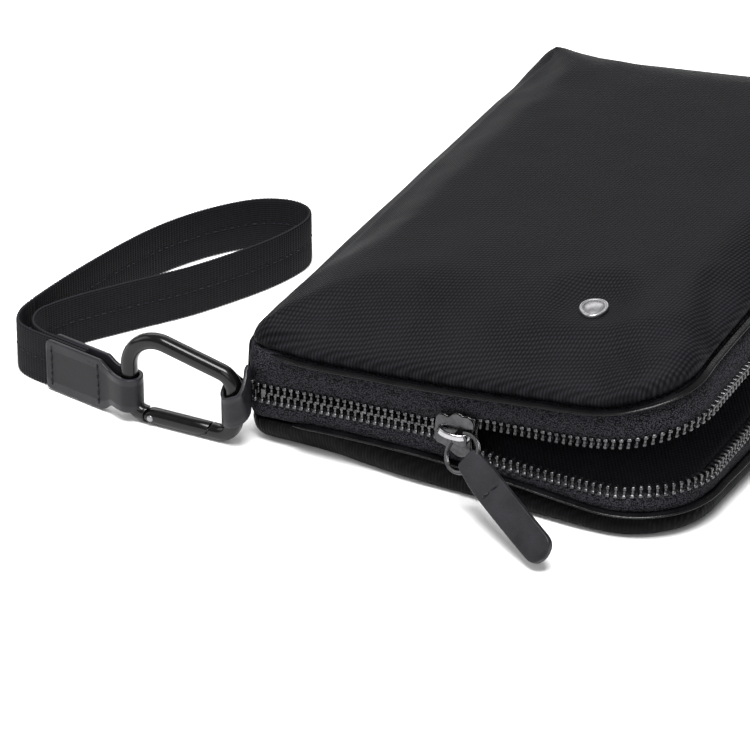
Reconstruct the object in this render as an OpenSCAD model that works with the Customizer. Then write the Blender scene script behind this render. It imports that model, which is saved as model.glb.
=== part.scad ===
// Zip-around padded pouch with a carabiner wrist strap.
// +Z is up. The origin is the middle of the face the pouch rests on.
// X runs along the short front side and Y along the spine.

/* [Pouch] */
// Width of the pouch, from the spine to the opening side
pouch_w = 156; // [140:2:180]
// Length of the pouch along the spine
pouch_l = 234; // [210:2:260]
// Radius of the two corners on the opening side
corner_r = 27; // [20:1:32]
// Radius of the two corners at the spine
spine_r = 6; // [5:0.5:8]
// Height of the bottom panel's upper edge
base_h = 9; // [8:0.5:11]
// Height of the spine's upper edge, which is the cover's hinge line
spine_top = 33.4; // [31:0.2:36]
// Angle that the half-open cover stands up at
gape_deg = 5.2; // [4.6:0.1:5.6]
// Depth of the padded top panel above the hinge line
crown_h = 13; // [11:0.5:15]

/* [Zip] */
// Distance between neighbouring teeth of one row
tooth_pitch = 2.4; // [2.2:0.1:2.8]
// Length of a tooth, from its foot to its head
tooth_len = 3.9; // [3.6:0.1:4]
// Thickness of a tooth, through the tape
tooth_thick = 2.4; // [2:0.1:2.6]
// Height of the middle of the closed chain
chain_z = 21; // [20:0.2:22]
// Place of the slider's middle along the front
slider_x = -1; // [-6:1:4]

/* [Pull] */
// Outer diameter of the pull ring
ring_od = 14; // [13:0.5:15]
// Diameter of the ring's wire
ring_wire = 1.4; // [1.2:0.1:1.5]
// Length of the leather pull from the ring
pull_len = 48; // [40:1:50]
// Width of the leather pull
pull_w = 10.4; // [9:0.2:11]

/* [Carabiner and strap] */
// Diameter of the carabiner's bar
bar_d = 5.5; // [5:0.1:5.6]
// Width of the webbing
webbing_w = 19; // [18:0.5:20]
// Thickness of the webbing
webbing_t = 1.4; // [1.2:0.1:1.5]
// Length of the strap's leather end
strap_tab_len = 26; // [24:1:28]

/* [Hidden] */
$fn = 48;

half_w = pouch_w / 2;
half_l = pouch_l / 2;
eps = 0.01;
// Every band of the zip stands on one line, this far in from the pouch's edge
zip_in = 2;
tape_t = 0.8;
tape_out = zip_in - tape_t / 2;
tape_in = zip_in + tape_t / 2;
zip_y = zip_in - half_l;
piping_t = 2;
piping_h = 2.2;
panel_in = 2;
lining_t = 0.8;
cloth_t = 1.2;
foam_in = 8.2;
// The bands start here, next to the spine
zip_start_x = 8 - half_w;
piping_start_x = 19 - half_w;
run_r = corner_r - zip_in;
run_x = half_w - corner_r;
run_y = half_l - corner_r;
// Open and closed heights of the teeth's feet, as a function of X
overlap = 0.8;
foot_gap = tooth_len - overlap / 2;
open_x = slider_x + 15;
split_x = slider_x - 3;
lower_open = 13.2;
upper_open = 20.6;
upper_wide = 25.8;
tilt = tan(gape_deg);
// The cover turns its teeth sideways by this much, so they start that far back to mesh
cover_lag = 1.33;
cover_shift = 0.5 - cover_lag / tooth_pitch;
function closed_upper(x) = chain_z + foot_gap - (x + half_w) * tilt;
FRONT_LOWER = [[-half_w, chain_z - foot_gap], [split_x, chain_z - foot_gap],
               [open_x, lower_open], [half_w, lower_open]];
FAR_LOWER = [[-half_w, chain_z - foot_gap], [-half_w / 2, lower_open], [half_w, lower_open]];
FRONT_UPPER = [[-half_w, closed_upper(-half_w)], [split_x, closed_upper(split_x)],
               [open_x, upper_open], [run_x, upper_open], [half_w, upper_wide]];
FAR_UPPER = [[-half_w, closed_upper(-half_w)], [half_w, upper_wide]];
// One run of teeth: along the front, round the corners and back along the far side
front_len = run_x - zip_start_x;
arc_len = run_r * PI / 2;
side_len = 2 * run_y;
run_len = 2 * front_len + 2 * arc_len + side_len;
tooth_count = floor(run_len / tooth_pitch) - 1;
tooth_w = 0.86;
// Slider
slider_len = 12.6;
plate_t = 1.1;
plate_gap = tooth_thick / 2 + 0.3;
throat_h = 4.6;
mouth_h = 6.8;
bridge_w = 2.6;
bridge_out = 5;
bridge_t = 1.2;
post_t = 1.5;
// Pull: the ring and the leather lie in one plane that leans on the ground
ring_r = (ring_od - ring_wire) / 2;
ring_at = [slider_x + 1, zip_y - plate_gap - plate_t - 1.9, chain_z];
pull_turn = [52, 15.5, -32];
eye_x = 2 * ring_r;
eye_r = 2.5;
leather_t = 1.3;
// Carabiner: a bar bent round four corners, in an upright plane
carabiner_y = -120;
bar_r = bar_d / 2;
big_r = 11;
small_r = 6.2;
wide_x = -105.2;
wide_low_x = -110;
narrow_x = -83.7;
low_z = bar_r + small_r;
wide_top_z = 19.8;
narrow_top_z = 19.4;
loop_x = narrow_x + small_r;
strap_x = wide_x - big_r;
gate_x = -107.6;
nose_x = -87;
joint_gap = 0.4;
pin_r = 0.9;
// Strap, in its own frame: the carabiner's bar is the origin and the tab points along -X
strap_turn = -11.6;
loop_clear = 0.35;
loop_r = bar_r + loop_clear;
strap_leather = 1.5;
tab_start = 8;
WEBBING = [
    [-18, -0.75], [-26, -0.75], [-34, -0.75], [-42, -0.8], [-48.5, 0.8], [-53, 6], [-55.5, 16],
    [-57.5, 44], [-57, 75], [-52.5, 97], [-44, 115], [-34.5, 123], [-25.5, 123.5], [-20, 117.5],
    [-19, 106], [-21.5, 89.5], [-28.5, 65.5], [-37.5, 45], [-45, 27.5], [-48.8, 14.5], [-48, 8],
    [-44, 3], [-38, 0.9], [-34, 0.75], [-26, 0.75], [-18, 0.75]
];

// Plan of the pouch, drawn in by a distance
module plan(inset = 0) {
    rs = max(spine_r - inset, 0.8);
    rc = corner_r - inset;
    w = half_w - inset;
    l = half_l - inset;
    translate([rs - w, -l]) square([2 * w - rs - rc, 2 * l]);
    translate([-w, rs - l]) square([2 * rs, 2 * (l - rs)]);
    translate([w - 2 * rc, rc - l]) square([2 * rc, 2 * (l - rc)]);
    for (s = [-1, 1]) {
        translate([rs - w, s * (l - rs)]) circle(rs);
        translate([w - rc, s * (l - rc)]) circle(rc);
    }
}

module slab(inset, z, h) {
    translate([0, 0, z]) linear_extrude(h) plan(inset);
}

// Upright band that follows the pouch's edge between two insets
module band(outer, inner, z, h) {
    translate([0, 0, z]) linear_extrude(h) difference() {
        plan(outer);
        plan(inner);
    }
}

// Keeps what lies to the right of x
module right_of(x) {
    intersection() {
        children();
        translate([x, -half_l - 5, -5]) cube([pouch_w + 10, pouch_l + 10, 80]);
    }
}

// Upright slab over one half of the pouch, between a profile and a level line
module profile_half(profile, level, far) {
    points = concat(profile, [[half_w + 1, profile[len(profile) - 1][1]],
                              [half_w + 1, level], [-half_w, level]]);
    translate([0, far ? half_l + 1 : 0, 0])
        rotate([90, 0, 0]) linear_extrude(half_l + 1) polygon(points);
}

module tape(front_profile, far_profile, level, low, h) {
    right_of(zip_start_x) intersection() {
        band(tape_out, tape_in, low, h);
        union() {
            profile_half(front_profile, level, false);
            profile_half(far_profile, level, true);
        }
    }
}

// Place of a tooth: X, Y and its turn about Z at a distance along the run
function run_place(s) =
    s < front_len ? [zip_start_x + s, zip_y, 0]
    : s < front_len + arc_len ? let(a = (s - front_len) / run_r * 180 / PI - 90)
        [run_x + run_r * cos(a), -run_y + run_r * sin(a), a + 90]
    : s < front_len + arc_len + side_len ?
        [half_w - zip_in, -run_y + s - front_len - arc_len, 90]
    : s < run_len - front_len ? let(a = (s - front_len - arc_len - side_len) / run_r * 180 / PI)
        [run_x + run_r * cos(a), run_y + run_r * sin(a), a + 90]
    : [zip_start_x + run_len - s, -zip_y, 180];

module tooth_row(front_profile, far_profile, shift, up) {
    for (i = [0 : tooth_count - 1]) {
        p = run_place((i + 1 + shift) * tooth_pitch);
        profile = p[1] < 0 ? front_profile : far_profile;
        feet = [for (dx = [-1.3, 1.3]) lookup(p[0] + dx, profile)];
        translate([p[0], p[1], up ? max(feet) : min(feet) - tooth_len]) rotate([0, 0, p[2]])
            translate([-tooth_w / 2, -tooth_thick / 2, 0])
                cube([tooth_w, tooth_thick, tooth_len]);
    }
}

// Puts the cover's pieces at the half-open angle, turned about the hinge line
module at_gape() {
    translate([-half_w, 0, spine_top]) rotate([0, -gape_deg, 0])
        translate([half_w, 0, -spine_top]) children();
}

module bottom_panel() {
    color("#141416") difference() {
        hull() {
            slab(7, 0, 1);
            slab(panel_in, 4, base_h - 4);
        }
        slab(foam_in, cloth_t, base_h);
    }
}

module bottom_foam() {
    color("#3a3a3c") slab(foam_in, cloth_t, base_h - cloth_t);
}

module bottom_lining() {
    color("#101012") slab(tape_in, base_h, lining_t);
}

module bottom_piping() {
    color("#1c1c1e") right_of(piping_start_x)
        band(tape_out - piping_t, tape_out, base_h - 0.8, piping_h);
}

module spine_panel() {
    color("#141416") difference() {
        band(tape_out, tape_out + cloth_t, base_h + lining_t, spine_top - base_h - lining_t);
        translate([zip_start_x, -half_l - 5, 0]) cube([pouch_w + 10, pouch_l + 10, 60]);
    }
}

module lower_zip_tape() {
    color("#1a1a1c") tape(FRONT_LOWER, FAR_LOWER, base_h, base_h, 30);
}

module lower_teeth() {
    color("#77777c") tooth_row(FRONT_LOWER, FAR_LOWER, 0, true);
}

// Block that joins the two rows at the closed end of the zip
module zip_bottom_stop() {
    color("#77777c") translate([zip_start_x + 0.2, zip_y - tooth_thick / 2, chain_z - foot_gap])
        cube([1.4, tooth_thick, 2.8]);
}

// End stop of the lower row, at the far end of the spine
module lower_end_stops() {
    color("#77777c") translate([zip_start_x + 0.2, -zip_y - tooth_thick / 2, chain_z - foot_gap])
        cube([1.4, tooth_thick, 2.8]);
}

// Leather strip round the carabiner's narrow end, sewn in at the corner
module strap_loop() {
    color("#232325") translate([loop_x, carabiner_y, 10]) rotate([0, 0, 52])
        linear_extrude(11) difference() {
            union() {
                circle(loop_r + strap_leather);
                translate([0, -loop_r - strap_leather]) square([6.4, 2 * (loop_r + strap_leather)]);
            }
            circle(loop_r);
            translate([0, -loop_r]) square([10, 2 * loop_r]);
        }
}

module top_panel() {
    color("#141416") at_gape() difference() {
        hull() {
            slab(panel_in, spine_top + 1, 5);
            slab(14, spine_top + crown_h - 1, 1);
        }
        slab(foam_in, spine_top, crown_h - 5);
    }
}

module top_foam() {
    color("#3a3a3c") at_gape() slab(foam_in, spine_top + 1, crown_h - 6.5);
}

module top_lining() {
    color("#101012") at_gape() slab(tape_in, spine_top + 0.2, lining_t);
}

module top_piping() {
    color("#1c1c1e") at_gape() right_of(12 - half_w)
        band(tape_out - piping_t, tape_out, spine_top + 0.2, piping_h);
}

module upper_zip_tape() {
    color("#1a1a1c") at_gape()
        tape(FRONT_UPPER, FAR_UPPER, spine_top + 1, chain_z - 8, 40);
}

module upper_teeth() {
    color("#77777c") at_gape() tooth_row(FRONT_UPPER, FAR_UPPER, cover_shift, false);
}

module upper_end_stop() {
    color("#77777c") at_gape()
        translate([zip_start_x + 0.2, -zip_y - tooth_thick / 2, closed_upper(zip_start_x) - 2.8])
            cube([1.4, tooth_thick, 2.8]);
}

// Plain domed oval of bright metal
module badge() {
    color("#c8c8cc") at_gape() translate([32, -80, spine_top + crown_h + 0.02])
        rotate([0, 0, 20]) hull() {
            for (s = [-1, 1]) {
                translate([0, 2.6 * s, 0]) cylinder(r = 4, h = 0.6, $fn = 32);
                translate([0, 2.6 * s, 0.8]) cylinder(r = 2.6, h = 0.6, $fn = 32);
            }
        }
}

module badge_back_plate() {
    color("#9a9aa0") at_gape() translate([32, -80, spine_top + crown_h - 5.45])
        cylinder(r = 3, h = 0.4);
}

// Outline of the slider's plates, narrow at the closed end of the chain
module slider_outline(trim = 0) {
    h = slider_len / 2;
    polygon([[-h, trim - throat_h], [-h + 4, trim - throat_h - 0.3], [h - 3, trim - mouth_h],
             [h, trim - mouth_h], [h, mouth_h - trim], [h - 3, mouth_h - trim],
             [-h + 4, throat_h + 0.3 - trim], [-h, throat_h - trim]]);
}

// Stands an XZ drawing at the slider, from one depth to another
module at_slider(from_y, depth) {
    translate([slider_x, zip_y + from_y + depth, chain_z]) rotate([90, 0, 0])
        linear_extrude(depth) children();
}

module slider_body() {
    lip = 0.7;
    color("#b4b4b8") {
        for (y = [-plate_gap - plate_t, plate_gap]) at_slider(y, plate_t) slider_outline();
        for (y = [-plate_gap, plate_gap - lip]) at_slider(y, lip) difference() {
            slider_outline();
            intersection() {
                square([slider_len + 2, 40], center = true);
                slider_outline(lip);
            }
            translate([-slider_len, -throat_h + lip]) square([2 * slider_len, 2 * (throat_h - lip)]);
        }
        at_slider(-plate_gap, 2 * plate_gap)
            polygon([[2.2, -0.3], [slider_len / 2, -1.3], [slider_len / 2, 1.3], [2.2, 0.3]]);
    }
}

module slider_bridge() {
    color("#c0c0c4") translate([slider_x - 5.6, zip_y - plate_gap - plate_t, chain_z])
        difference() {
            translate([0, -bridge_out, -bridge_w / 2]) cube([10.8, bridge_out, bridge_w]);
            translate([post_t, bridge_t - bridge_out, -bridge_w])
                cube([10.8 - 2 * post_t, bridge_out, 2 * bridge_w]);
        }
}

// Puts the ring and the pull in their leaning plane, with the bridge at the origin
module at_pull() {
    translate(ring_at) rotate(pull_turn) children();
}

module pull_ring() {
    color("#b4b4b8") at_pull() translate([ring_r, 0, 0])
        rotate_extrude() translate([ring_r, 0]) circle(ring_wire / 2, $fn = 24);
}

module pull_tab() {
    tip_x = eye_x + pull_len;
    color("#232325") at_pull() intersection() {
        translate([0, pull_w / 2, 0]) rotate([90, 0, 0]) linear_extrude(pull_w) difference() {
            union() {
                translate([eye_x, 0]) circle(eye_r + 0.9);
                polygon([[eye_x, -eye_r - 0.9], [eye_x + 5, -leather_t], [tip_x, -leather_t],
                         [tip_x, leather_t], [eye_x + 5, leather_t], [eye_x, eye_r + 0.9]]);
            }
            translate([eye_x, 0]) circle(eye_r);
        }
        translate([0, 0, -10]) linear_extrude(20) union() {
            polygon([[eye_x - 5, -4.2], [eye_x, -4.2], [eye_x + 7, -pull_w / 2],
                     [tip_x - pull_w / 2, -pull_w / 2], [tip_x - pull_w / 2, pull_w / 2],
                     [eye_x + 7, pull_w / 2], [eye_x, 4.2], [eye_x - 5, 4.2]]);
            translate([tip_x - pull_w / 2, 0]) circle(pull_w / 2);
        }
    }
}

module pull_tab_stitching() {
    color("#2c2c2e") at_pull() for (s = [-1, 1], i = [-1, 1])
        translate([eye_x + 8.6, i * 2 - 1.2, s > 0 ? leather_t : -leather_t - 0.3])
            cube([0.6, 2.4, 0.3]);
}

// Straight length of the bar between two places in the carabiner's plane
module bar(x1, z1, x2, z2) {
    run = norm([x2 - x1, z2 - z1]);
    translate([x1, carabiner_y, z1]) rotate([0, 90 - atan2(z2 - z1, x2 - x1), 0])
        cylinder(r = bar_r, h = run);
}

// Places along the bent bar: X, Z and the direction that the bend's outside faces
function bend(x, z, r, from, to, steps) = [
    for (k = [0 : steps]) let(a = from + (to - from) * k / steps)
        [x + r * cos(a), z + r * sin(a), a]
];

// The straight spine touches the big bend and the small one on their outsides
spine_turn = acos((big_r - small_r) / norm([narrow_x - wide_x, wide_top_z - narrow_top_z]))
    - atan2(wide_top_z - narrow_top_z, narrow_x - wide_x);
BAR = concat(
    [[nose_x + joint_gap, bar_r, 270]],
    bend(narrow_x, low_z, small_r, 270, 360, 6),
    bend(narrow_x, narrow_top_z, small_r, 360, 360 + spine_turn, 5),
    bend(wide_x, wide_top_z, big_r, 360 + spine_turn, 540, 9),
    bend(wide_low_x, low_z, small_r, 540, 630, 6),
    [[gate_x + 2, bar_r, 630]]
);

// Round bar swept along its places
module bent_bar(places, r, sides) {
    n = len(places);
    points = [for (p = places, k = [0 : sides - 1]) let(a = 360 * k / sides)
        [p[0] + r * cos(a) * cos(p[2]), carabiner_y + r * sin(a), p[1] + r * cos(a) * sin(p[2])]];
    faces = concat(
        [[for (k = [0 : sides - 1]) k]],
        [for (i = [0 : n - 2], k = [0 : sides - 1]) let(m = (k + 1) % sides)
            [i * sides + m, i * sides + k, (i + 1) * sides + k, (i + 1) * sides + m]],
        [[for (k = [sides - 1 : -1 : 0]) (n - 1) * sides + k]]);
    polyhedron(points, faces);
}

module carabiner_frame() {
    color("#101011") difference() {
        bent_bar(BAR, bar_r, 16);
        // Fork that holds the gate's pin
        translate([gate_x - 2.9, carabiner_y - 1.4, -1]) cube([8, 2.8, 8]);
        translate([gate_x, carabiner_y + 5, bar_r]) rotate([90, 0, 0]) cylinder(r = pin_r, h = 10);
    }
}

module gate_pin() {
    color("#8e8e92") translate([gate_x, carabiner_y + bar_r - 0.2, bar_r])
        rotate([90, 0, 0]) cylinder(r = pin_r, h = bar_d - 0.4);
}

module gate() {
    color("#161617") difference() {
        union() {
            // Tongue between the fork's cheeks
            translate([gate_x, carabiner_y + 1.1, bar_r]) rotate([90, 0, 0])
                cylinder(r = 2.2, h = 2.2);
            translate([gate_x, carabiner_y - 1.1, bar_r - 2.1]) cube([5, 2.2, 4.2]);
            // Hollowed end, so the gate clears the fork's cheeks as it swings
            difference() {
                bar(gate_x + 2.4, bar_r, nose_x - joint_gap, bar_r);
                translate([gate_x, carabiner_y + 5, bar_r]) rotate([90, 0, 0])
                    cylinder(r = norm([2, bar_r]) + 0.15, h = 10);
            }
        }
        translate([gate_x, carabiner_y + 5, bar_r]) rotate([90, 0, 0])
            cylinder(r = pin_r + 0.05, h = 10);
        translate([gate_x + 5, carabiner_y, bar_r]) rotate([0, 90, 0]) cylinder(r = 1.1, h = 8);
    }
}

// Spring in the gate's bore, as one closed coil
module gate_spring() {
    color("#9a9aa0") translate([gate_x + 5.4, carabiner_y, bar_r]) rotate([0, 90, 0])
        difference() {
            cylinder(r = 1, h = 7.2);
            translate([0, 0, -1]) cylinder(r = 0.6, h = 10);
        }
}

module at_strap() {
    translate([strap_x, carabiner_y, 0]) rotate([0, 0, strap_turn]) children();
}

module strap_tab() {
    half_t = webbing_t + 0.15 + strap_leather;
    cavity = webbing_t + 0.15;
    color("#232325") at_strap() difference() {
        union() {
            translate([0, 0, 6.3]) cylinder(r = loop_r + strap_leather, h = 11.3);
            translate([-tab_start, -loop_r - strap_leather, 6.3])
                cube([tab_start, 2 * (loop_r + strap_leather), 11.3]);
            translate([-tab_start - strap_tab_len, -half_t, 0.3])
                cube([strap_tab_len, 2 * half_t, webbing_w - 0.6]);
        }
        translate([0, 0, -1]) cylinder(r = loop_r, h = 30);
        translate([0, 0, -1]) cylinder(r = loop_r + 0.8, h = 10.6);
        translate([-tab_start + 1, -loop_r, -1]) cube([tab_start - 1, 2 * loop_r, 30]);
        translate([-50, -cavity, -1]) cube([50 - 18 + 0.1, 2 * cavity, 30]);
    }
}

// Two upright rows of thread on each face of the leather end
module strap_tab_stitching() {
    half_t = webbing_t + 0.15 + strap_leather;
    color("#2c2c2e") at_strap() for (x = [-11, -31.5], s = [-1, 1], k = [0 : 4])
        translate([x, s > 0 ? half_t : -half_t - 0.3, 2.2 + 3.1 * k]) cube([0.6, 0.3, 2.2]);
}

// Direction of the webbing's line at one of its points
function heading(i) =
    let(a = WEBBING[max(i - 1, 0)], b = WEBBING[min(i + 1, len(WEBBING) - 1)])
    (b - a) / norm(b - a);
function beside(i, d) = WEBBING[i] + d * [-heading(i)[1], heading(i)[0]];

module strap_webbing() {
    last = len(WEBBING) - 1;
    color("#19191b") at_strap() linear_extrude(webbing_w) polygon(concat(
        [for (i = [0 : last]) beside(i, webbing_t / 2)],
        [for (i = [last : -1 : 0]) beside(i, -webbing_t / 2)]));
}

bottom_panel();
bottom_foam();
bottom_lining();
bottom_piping();
spine_panel();
lower_zip_tape();
lower_teeth();
zip_bottom_stop();
lower_end_stops();
strap_loop();
top_panel();
top_foam();
top_lining();
top_piping();
upper_zip_tape();
upper_teeth();
upper_end_stop();
badge();
badge_back_plate();
slider_body();
slider_bridge();
pull_ring();
pull_tab();
pull_tab_stitching();
carabiner_frame();
gate_pin();
gate();
gate_spring();
strap_tab();
strap_tab_stitching();
strap_webbing();
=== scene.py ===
"""A soft zippered pouch with a wrist strap, a carabiner and a leather zip pull.

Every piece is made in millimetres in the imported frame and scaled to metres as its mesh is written.
"""

import math

import bpy
from mathutils import Matrix, Vector, noise


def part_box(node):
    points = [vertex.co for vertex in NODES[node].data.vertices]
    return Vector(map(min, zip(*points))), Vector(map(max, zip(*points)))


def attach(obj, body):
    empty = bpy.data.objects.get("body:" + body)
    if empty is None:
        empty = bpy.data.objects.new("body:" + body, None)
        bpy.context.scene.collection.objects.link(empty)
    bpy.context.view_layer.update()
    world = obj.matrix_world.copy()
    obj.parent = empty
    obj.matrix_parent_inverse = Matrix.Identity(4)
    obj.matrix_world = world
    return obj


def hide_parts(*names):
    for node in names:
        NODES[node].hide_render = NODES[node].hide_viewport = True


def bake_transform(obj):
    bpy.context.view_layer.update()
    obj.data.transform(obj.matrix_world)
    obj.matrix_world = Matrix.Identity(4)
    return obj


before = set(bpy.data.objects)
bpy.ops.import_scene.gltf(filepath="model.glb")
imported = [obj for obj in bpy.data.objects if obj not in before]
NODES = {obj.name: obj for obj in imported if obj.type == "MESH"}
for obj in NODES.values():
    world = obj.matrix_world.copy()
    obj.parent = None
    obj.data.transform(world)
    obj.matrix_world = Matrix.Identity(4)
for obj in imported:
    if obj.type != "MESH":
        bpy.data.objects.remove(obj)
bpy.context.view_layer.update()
MM = 0.001
GAPE_DEG = 5.2      # how far the cover stands open at rest
CLOTH_FRAMES = 20

# ---------------------------------------------------------------- camera
CAMERA_AT = Vector((0.5618, -1.3008, 0.7846))
CAMERA_LOOKS_AT = Vector((-0.0208, -0.1324, 0.0460))
lens = bpy.data.cameras.new("camera")
lens.sensor_width = 36.0
lens.lens = 230.4
lens.clip_start = 0.01
lens.clip_end = 50.0
camera = bpy.data.objects.new("camera", lens)
camera.location = CAMERA_AT
camera.rotation_euler = (CAMERA_LOOKS_AT - CAMERA_AT).to_track_quat("-Z", "Y").to_euler()
bpy.context.scene.collection.objects.link(camera)
bpy.context.scene.camera = camera


# ---------------------------------------------------------------- curves and meshes
def smooth_at(points, x):
    """The value at x of a smooth curve through (x, value) points."""
    if x <= points[0][0]:
        return points[0][1]
    if x >= points[-1][0]:
        return points[-1][1]
    i = max(k for k in range(len(points) - 1) if points[k][0] <= x)
    (x0, y0), (x1, y1) = points[i], points[i + 1]

    def slope(k):
        a = points[max(k - 1, 0)]
        b = points[min(k + 1, len(points) - 1)]
        return (b[1] - a[1]) / (b[0] - a[0])

    step = x1 - x0
    t = (x - x0) / step
    h = t * t * (3 - 2 * t)
    rise = slope(i) * step * t * (1 - t) ** 2 - slope(i + 1) * step * t * t * (1 - t)
    return y0 + (y1 - y0) * h + rise


def ease(t):
    """0 to 1 with level ends."""
    t = min(max(t, 0.0), 1.0)
    return t * t * (3 - 2 * t)


def hills(p, size, seed=0.0):
    """Soft random hills, about -1 to 1, size millimetres across."""
    return noise.noise(Vector((p[0] / size + seed, p[1] / size - seed, p[2] / size)))


def piece(name, verts, faces, materials, body, slot, replaced=(), smooth=True, faces_of=None):
    """A mesh object in metres from millimetre points, on its body; the slot argument is not used."""
    mesh = bpy.data.meshes.new(name)
    mesh.from_pydata([Vector(v) * MM for v in verts], [], faces)
    obj = bpy.data.objects.new(name, mesh)
    bpy.context.scene.collection.objects.link(obj)
    for m in materials if isinstance(materials, (list, tuple)) else [materials]:
        mesh.materials.append(m)
    for i, face in enumerate(mesh.polygons):
        face.use_smooth = smooth
        if faces_of:
            face.material_index = faces_of(i)
    mesh.update()
    if body:
        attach(obj, body)
    if replaced:
        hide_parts(*replaced)
    return obj


def loft(rings, closed=True, caps=True):
    """Vertices and faces of a skin over rings with equal counts."""
    count = len(rings[0])
    verts = [p for ring in rings for p in ring]
    faces = []
    for r in range(len(rings) - 1):
        for k in range(count if closed else count - 1):
            a = r * count + k
            b = r * count + (k + 1) % count
            faces.append((a, b, b + count, a + count))
    if caps and closed:
        faces.append(tuple(reversed(range(count))))
        last = (len(rings) - 1) * count
        faces.append(tuple(range(last, last + count)))
    return verts, faces


def joined(parts):
    """Several (verts, faces) as one."""
    verts, faces = [], []
    for v, f in parts:
        start = len(verts)
        verts += v
        faces += [tuple(i + start for i in face) for face in f]
    return verts, faces


def moved(part, matrix):
    """(verts, faces) with every point through a matrix."""
    return [matrix @ Vector(v) for v in part[0]], part[1]


def swept(path, section, closed=False, ups=None, scales=None):
    """A section of (sideways, upward) points swept along a path; the ends are capped."""
    rings = []
    count = len(path)
    for i, p in enumerate(path):
        before = path[(i - 1) % count] if closed or i else path[0]
        after = path[(i + 1) % count] if closed or i < count - 1 else path[-1]
        along = (Vector(after) - Vector(before)).normalized()
        up = Vector(ups[i]) if ups else Vector((0, 0, 1))
        side = along.cross(up).normalized()
        up = side.cross(along)
        k = scales[i] if scales else 1.0
        rings.append([Vector(p) + side * (a * k) + up * (b * k) for a, b in section])
    if closed:
        rings.append(rings[0])
    return loft(rings, True, not closed)


def round_section(wide, high, sides=12):
    """An ellipse as a section."""
    turns = [2 * math.pi * k / sides for k in range(sides)]
    return [(wide * math.cos(t), high * math.sin(t)) for t in turns]


def box_section(wide, high, corner, steps=3):
    """A rounded rectangle as a section, wide and high being its full size."""
    points = []
    for cx, cy, start in ((1, 1, 0), (-1, 1, 90), (-1, -1, 180), (1, -1, 270)):
        for k in range(steps + 1):
            a = math.radians(start + 90 * k / steps)
            points.append((cx * (wide / 2 - corner) + corner * math.cos(a),
                           cy * (high / 2 - corner) + corner * math.sin(a)))
    return points


def slab(outline, low, high, edge=0.3, steps=3):
    """A flat plate of an outline of (x, y) points, with rounded rims."""
    count = len(outline)
    normals = []
    for i in range(count):
        t = Vector(outline[(i + 1) % count]) - Vector(outline[i - 1])
        normals.append(Vector((t.y, -t.x)).normalized())
    rings = []
    for k in range(steps + 1):
        a = math.pi / 2 * k / steps
        rings.append((edge * (1 - math.sin(a)), low + edge * (1 - math.cos(a))))
    rings += [(inset, low + high - z) for inset, z in reversed(rings)]
    skins = []
    for inset, z in rings:
        skins.append([Vector((x - n.x * inset, y - n.y * inset, z)) for (x, y), n in zip(outline, normals)])
    return loft(skins)


def finer(obj, levels=1):
    """Subdivision that stays on the object."""
    m = obj.modifiers.new("finer", "SUBSURF")
    m.levels = levels
    m.render_levels = levels
    return obj


# ---------------------------------------------------------------- materials
class Nodes:
    """A material's node tree, with short calls for the nodes used here."""

    def __init__(self, name, **values):
        self.material = bpy.data.materials.new(name)
        self.material.use_nodes = True
        self.tree = self.material.node_tree
        self.shader = self.tree.nodes["Principled BSDF"]
        self.place = self.tree.nodes.new("ShaderNodeTexCoord").outputs["Object"]
        self.tint = 1.2
        for key, value in values.items():
            self.shader.inputs[key.replace("_", " ")].default_value = value

    def add(self, kind, inputs=(), **settings):
        node = self.tree.nodes.new("ShaderNode" + kind)
        for key, value in settings.items():
            setattr(node, key, value)
        for key, value in dict(inputs).items():
            socket = node.inputs[key]
            if isinstance(value, bpy.types.NodeSocket):
                self.tree.links.new(value, socket)
            else:
                socket.default_value = value
        return node.outputs[0]

    def turned(self, angles=(0, 0, 0), scale=(1, 1, 1)):
        turn = tuple(math.radians(a) for a in angles)
        return self.add("Mapping", {"Vector": self.place, "Rotation": turn, "Scale": scale})

    def grain(self, size, detail=2.0, rough=0.5, at=None):
        """Noise whose spots are about size millimetres."""
        return self.add("TexNoise", {"Vector": at or self.place, "Scale": 1 / (size * MM), "Detail": detail,
                                     "Roughness": rough})

    def ribs(self, pitch, angles=(0, 0, 0), bend=0.0, bend_size=4.0):
        """Parallel ribs across X of a turned space, pitch millimetres apart."""
        return self.add("TexWave", {"Vector": self.turned(angles), "Scale": 2 * math.pi / 20 / (pitch * MM),
                                    "Distortion": bend, "Detail": 1.0, "Detail Scale": pitch / bend_size})

    def cells(self, size, at=None, feature="F1"):
        return self.add("TexVoronoi", {"Vector": at or self.place, "Scale": 1 / (size * MM)}, feature=feature)

    def calc(self, operation, a, b=0.0):
        return self.add("Math", {0: a, 1: b}, operation=operation)

    def ramp(self, value, stops):
        """A colour from a value, through (position, colour) stops."""
        out = self.add("ValToRGB", {"Fac": value})
        ramp = out.node.color_ramp
        while len(ramp.elements) < len(stops):
            ramp.elements.new(0.5)
        for element, (position, colour) in zip(ramp.elements, stops):
            element.position = position
            element.color = tuple(colour) + (1.0,) if len(colour) == 3 else colour
        return out

    def greys(self, value, low, high, start=0.3, end=0.7):
        """A ramp between two nearly neutral greys; tint is the blue part over the red part."""
        dark = (low, low * 0.98, low * self.tint)
        light = (high, high * 0.98, high * self.tint)
        return self.ramp(value, [(start, dark), (end, light)])

    def finish(self, colour=None, rough=None, heights=()):
        """Links colour, roughness and a chain of (height, strength, distance in mm) bumps."""
        link = self.tree.links.new
        if colour is not None:
            link(colour, self.shader.inputs["Base Color"])
        if rough is not None:
            link(rough, self.shader.inputs["Roughness"])
        last = None
        for height, strength, distance in heights:
            values = {"Height": height, "Strength": strength, "Distance": distance * MM}
            if last is not None:
                values["Normal"] = last
            last = self.add("Bump", values)
        if last is not None:
            link(last, self.shader.inputs["Normal"])
        return self.material


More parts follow.
